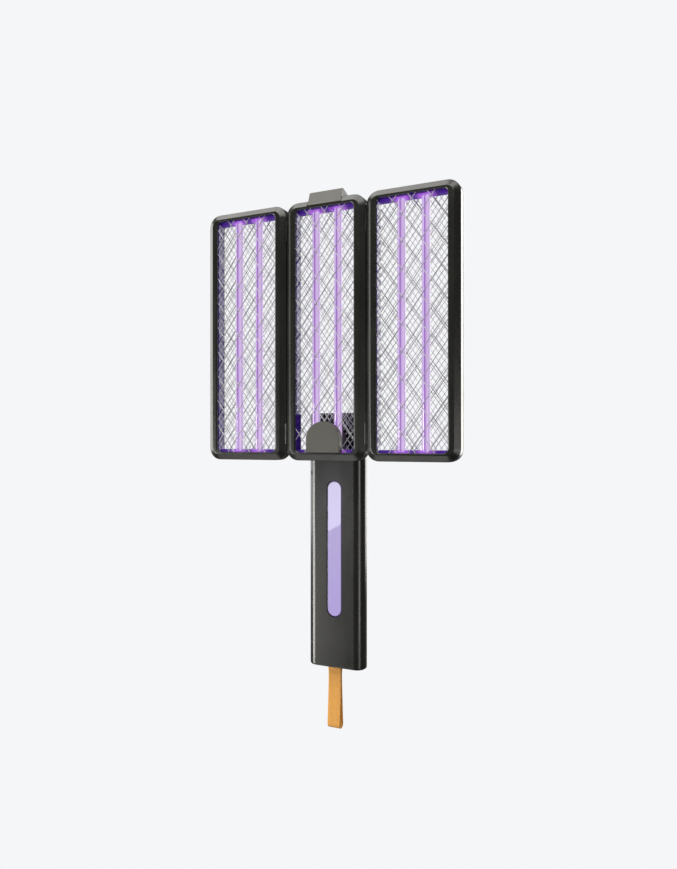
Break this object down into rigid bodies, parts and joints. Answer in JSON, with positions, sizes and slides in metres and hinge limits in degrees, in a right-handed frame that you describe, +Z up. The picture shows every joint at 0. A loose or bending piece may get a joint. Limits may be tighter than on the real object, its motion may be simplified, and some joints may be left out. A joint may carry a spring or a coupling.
{
  "type": "electric fly swatter",
  "caption": "Hand-held electric insect swatter with lamp-lit grid panels that fold on vertical hinges, a swivelling flat grip with a violet window, and a wrist strap.",
  "frame": {"origin": "centre of the hand grip, on its long axis", "axes": "+Z up the grip to the head, +Y out of the back of the grip, +X to the right seen from the front"},
  "size_m": [0.2324, 0.0427, 0.4621],
  "materials": {
    "frame_black": "satin moulded",
    "carrier_gloss": "glossy, lit violet by the lamps",
    "gasket_rubber": "matte",
    "guard_wire": "satin",
    "grid_wire": "plain drawn",
    "uv_glass": "glowing violet",
    "screw_steel": "zinc",
    "pin_steel": "ground",
    "cover_black": "satin moulded",
    "washer_plastic": "smooth",
    "handle_black": "satin moulded",
    "window_violet": "clear over violet light",
    "board_green": "lacquered",
    "button_black": "satin",
    "winding_copper": "enamelled wire",
    "battery_wrap": "shrink wrap",
    "strap_orange": "woven webbing"
  },
  "bodies": {
    "handle": {"handle_front_shell": "handle_black", "handle_rear_shell": "handle_black", "window_lens": "window_violet", "light_board": "board_green", "button_switch": "frame_black", "main_board": "board_green", "step_up_transformer": "winding_copper", "battery": "battery_wrap", "usb_port": "screw_steel", "strap_pin": "pin_steel", "handle_screws": "screw_steel", "pivot_shaft": "pin_steel", "pivot_nut": "pin_steel", "swivel_washer": "washer_plastic", "detent_ball": "pin_steel", "detent_spring": "pin_steel"},
    "head": {"centre_front_frame": "frame_black", "centre_rear_frame": "frame_black", "centre_lamp_carrier": "carrier_gloss", "centre_grid_gasket": "gasket_rubber", "centre_lamp_holders": "carrier_gloss", "centre_front_guard": "guard_wire", "centre_live_grid": "grid_wire", "centre_rear_guard": "guard_wire", "centre_uv_tube_a": "uv_glass", "centre_uv_tube_b": "uv_glass", "centre_frame_screws": "screw_steel", "left_hinge_pins": "pin_steel", "right_hinge_pins": "pin_steel", "pivot_cover": "cover_black", "pivot_hub": "frame_black", "catch_pin": "pin_steel", "catch_spring": "pin_steel"},
    "left_panel": {"left_front_frame": "frame_black", "left_rear_frame": "frame_black", "left_lamp_carrier": "carrier_gloss", "left_grid_gasket": "gasket_rubber", "left_lamp_holders": "carrier_gloss", "left_front_guard": "guard_wire", "left_live_grid": "grid_wire", "left_rear_guard": "guard_wire", "left_uv_tube_a": "uv_glass", "left_uv_tube_b": "uv_glass", "left_frame_screws": "screw_steel"},
    "right_panel": {"right_front_frame": "frame_black", "right_rear_frame": "frame_black", "right_lamp_carrier": "carrier_gloss", "right_grid_gasket": "gasket_rubber", "right_lamp_holders": "carrier_gloss", "right_front_guard": "guard_wire", "right_live_grid": "grid_wire", "right_rear_guard": "guard_wire", "right_uv_tube_a": "uv_glass", "right_uv_tube_b": "uv_glass", "right_frame_screws": "screw_steel"},
    "top_catch": {"top_catch": "cover_black"},
    "power_button": {"power_button": "button_black"},
    "mode_switch": {"mode_switch_knob": "button_black"},
    "strap": {"wrist_strap": "strap_orange"}
  },
  "joints": [
    {"name": "head_swivel", "type": "hinge", "parent": "handle", "child": "head", "pos_m": [0, -0.01075, 0.0867], "axis": [0, 1, 0], "range_deg": [0, 180]},
    {"name": "left_panel_fold", "type": "hinge", "parent": "head", "child": "left_panel", "pos_m": [-0.037, -0.02665, 0.0867], "axis": [0, 0, 1], "range_deg": [0, 115]},
    {"name": "right_panel_fold", "type": "hinge", "parent": "head", "child": "right_panel", "pos_m": [0.037, -0.02665, 0.0867], "axis": [0, 0, -1], "range_deg": [0, 115]},
    {"name": "catch_tilt", "type": "hinge", "parent": "head", "child": "top_catch", "pos_m": [0, -0.02635, 0.2869], "axis": [1, 0, 0], "range_deg": [0, 12], "stiffness_Nm_per_rad": 0.05, "springref_deg": -5.73},
    {"name": "button_press", "type": "slide", "parent": "handle", "child": "power_button", "axis": [0, -1, 0], "range_m": [0, 0.0012], "stiffness_N_per_m": 900, "springref_m": -0.0005},
    {"name": "mode_slide", "type": "slide", "parent": "handle", "child": "mode_switch", "axis": [0, 0, 1], "range_m": [0, 0.004]},
    {"name": "strap_swing", "type": "hinge", "parent": "handle", "child": "strap", "pos_m": [-0.003, 0, -0.1075], "axis": [1, 0, 0], "range_deg": [-25, 50]}
  ]
}
